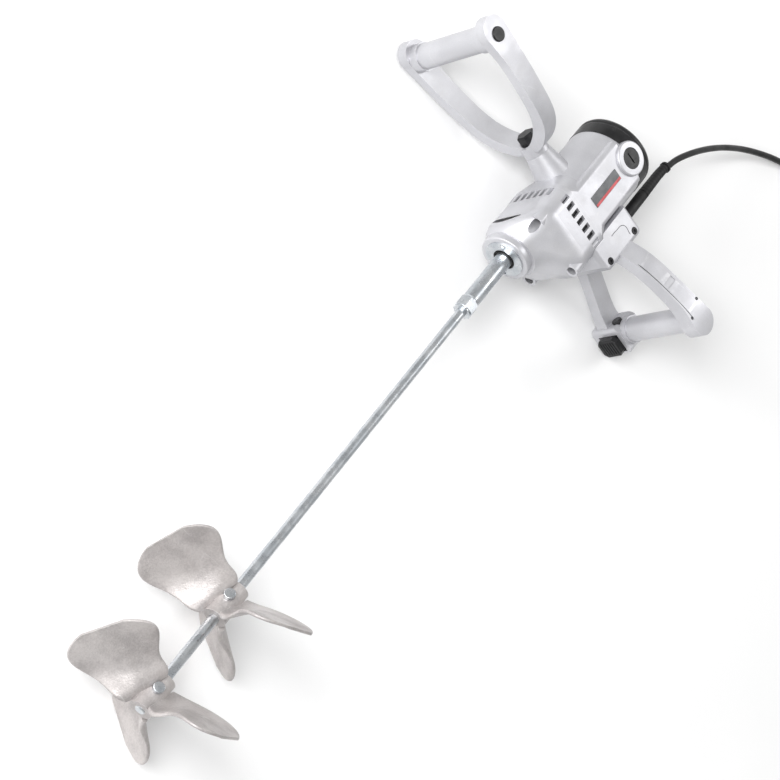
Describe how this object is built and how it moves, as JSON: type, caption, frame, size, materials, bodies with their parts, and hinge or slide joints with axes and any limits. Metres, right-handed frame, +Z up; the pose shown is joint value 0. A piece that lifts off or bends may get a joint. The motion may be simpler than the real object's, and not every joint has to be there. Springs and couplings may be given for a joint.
{
  "type": "mortar mixing paddle",
  "caption": "hand-held electric mixer with two D-handles, a geared motor head and a long shaft that carries two three-bladed propellers, lying on its side with its cord coiled",
  "frame": {"origin": "middle of the footprint of the machine without its cord, on the floor it lies on", "axes": "+Z up from the floor; +X along the spindle from the propellers towards the motor cap, level with the floor; +Y towards the side handle"},
  "size_m": [1.3089, 0.7574, 0.1966],
  "materials": {
    "silver_paint": "cast aluminium with silver hammered paint, satin",
    "black_plastic": "matt black moulded plastic",
    "black_rubber": "matt black rubber",
    "cord_rubber": "black cord sheath",
    "black_steel": "black oxide steel",
    "zinc_steel": "bright zinc-plated steel",
    "turned_steel": "bare turned steel",
    "cast_aluminium": "rough cast aluminium, tumbled",
    "gear_steel": "dark hardened steel",
    "copper": "enamelled copper",
    "lamination": "laminated electrical steel",
    "carbon": "carbon brush",
    "plate": "dark grey plate with a red stripe",
    "pin_nickel": "nickel-plated contact pins"
  },
  "bodies": {
    "machine": {"armature_front_bearing": "turned_steel", "armature_rear_bearing": "turned_steel", "bearing_retainer": "zinc_steel", "brush_caps": "black_plastic", "brush_springs": "zinc_steel", "brush_tubes": "zinc_steel", "carbon_brushes": "carbon", "cord_boot": "black_rubber", "cord_coil": "cord_rubber", "cord_guard": "black_rubber", "cord_lead": "cord_rubber", "cord_tail": "cord_rubber", "countershaft_bearings": "turned_steel", "cover_screws": "black_steel", "field_coils": "copper", "gear_housing": "silver_paint", "gear_plate": "cast_aluminium", "handle_bolt": "black_steel", "handle_cover": "silver_paint", "handle_screws": "black_steel", "handle_spacer": "silver_paint", "housing_screws": "black_steel", "motor_housing": "silver_paint", "name_plate": "plate", "nose_bearing": "turned_steel", "oil_seal": "black_rubber", "plug": "black_rubber", "plug_pins": "pin_nickel", "pod_cover": "silver_paint", "power_cord": "cord_rubber", "rear_bracket": "cast_aluminium", "rear_cap": "black_plastic", "side_grip": "silver_paint", "side_grip_plugs": "black_plastic", "side_grip_rod": "zinc_steel", "side_handle": "silver_paint", "spindle_top_bearing": "turned_steel", "stator_core": "lamination", "switch_grip": "silver_paint", "switch_handle": "silver_paint", "switch_unit": "black_plastic", "trigger_spring": "zinc_steel"},
    "mixing_spindle": {"spindle": "zinc_steel", "spindle_gear": "gear_steel", "lock_nut": "zinc_steel", "mixing_shaft": "zinc_steel", "upper_propeller": "cast_aluminium", "lower_propeller": "cast_aluminium", "propeller_screws": "zinc_steel"},
    "countershaft_set": {"countershaft": "gear_steel", "first_wheel": "gear_steel"},
    "armature": {"armature_shaft": "gear_steel", "armature_core": "lamination", "armature_windings": "copper", "commutator": "copper", "cooling_fan": "black_plastic"},
    "trigger_button": {"trigger": "black_plastic"},
    "lock_pin": {"lock_button": "black_plastic"}
  },
  "joints": [
    {"name": "spindle_spin", "type": "hinge", "parent": "machine", "child": "mixing_spindle", "pos_m": [0.25615, -0.00865, 0.07733], "axis": [0.9995, 0, -0.0318], "continuous": true},
    {"name": "countershaft_spin", "type": "hinge", "parent": "machine", "child": "countershaft_set", "pos_m": [0.25567, -0.034, 0.06226], "axis": [0.9995, 0, -0.0318], "continuous": true},
    {"name": "armature_spin", "type": "hinge", "parent": "machine", "child": "armature", "pos_m": [0.25634, -0.02865, 0.08333], "axis": [0.9995, 0, -0.0318], "continuous": true},
    {"name": "trigger_press", "type": "slide", "parent": "machine", "child": "trigger_button", "axis": [0.9995, 0, -0.0318], "range_m": [0, 0.005], "stiffness_N_per_m": 800, "springref_m": -0.002},
    {"name": "lock_press", "type": "slide", "parent": "machine", "child": "lock_pin", "axis": [0, -1, 0], "range_m": [0, 0.0025], "stiffness_N_per_m": 800, "springref_m": -0.002}
  ],
  "couplings": [
    {"joint": "countershaft_spin", "follows": "spindle_spin", "ratio": -5.5556},
    {"joint": "armature_spin", "follows": "spindle_spin", "ratio": 48.148}
  ]
}
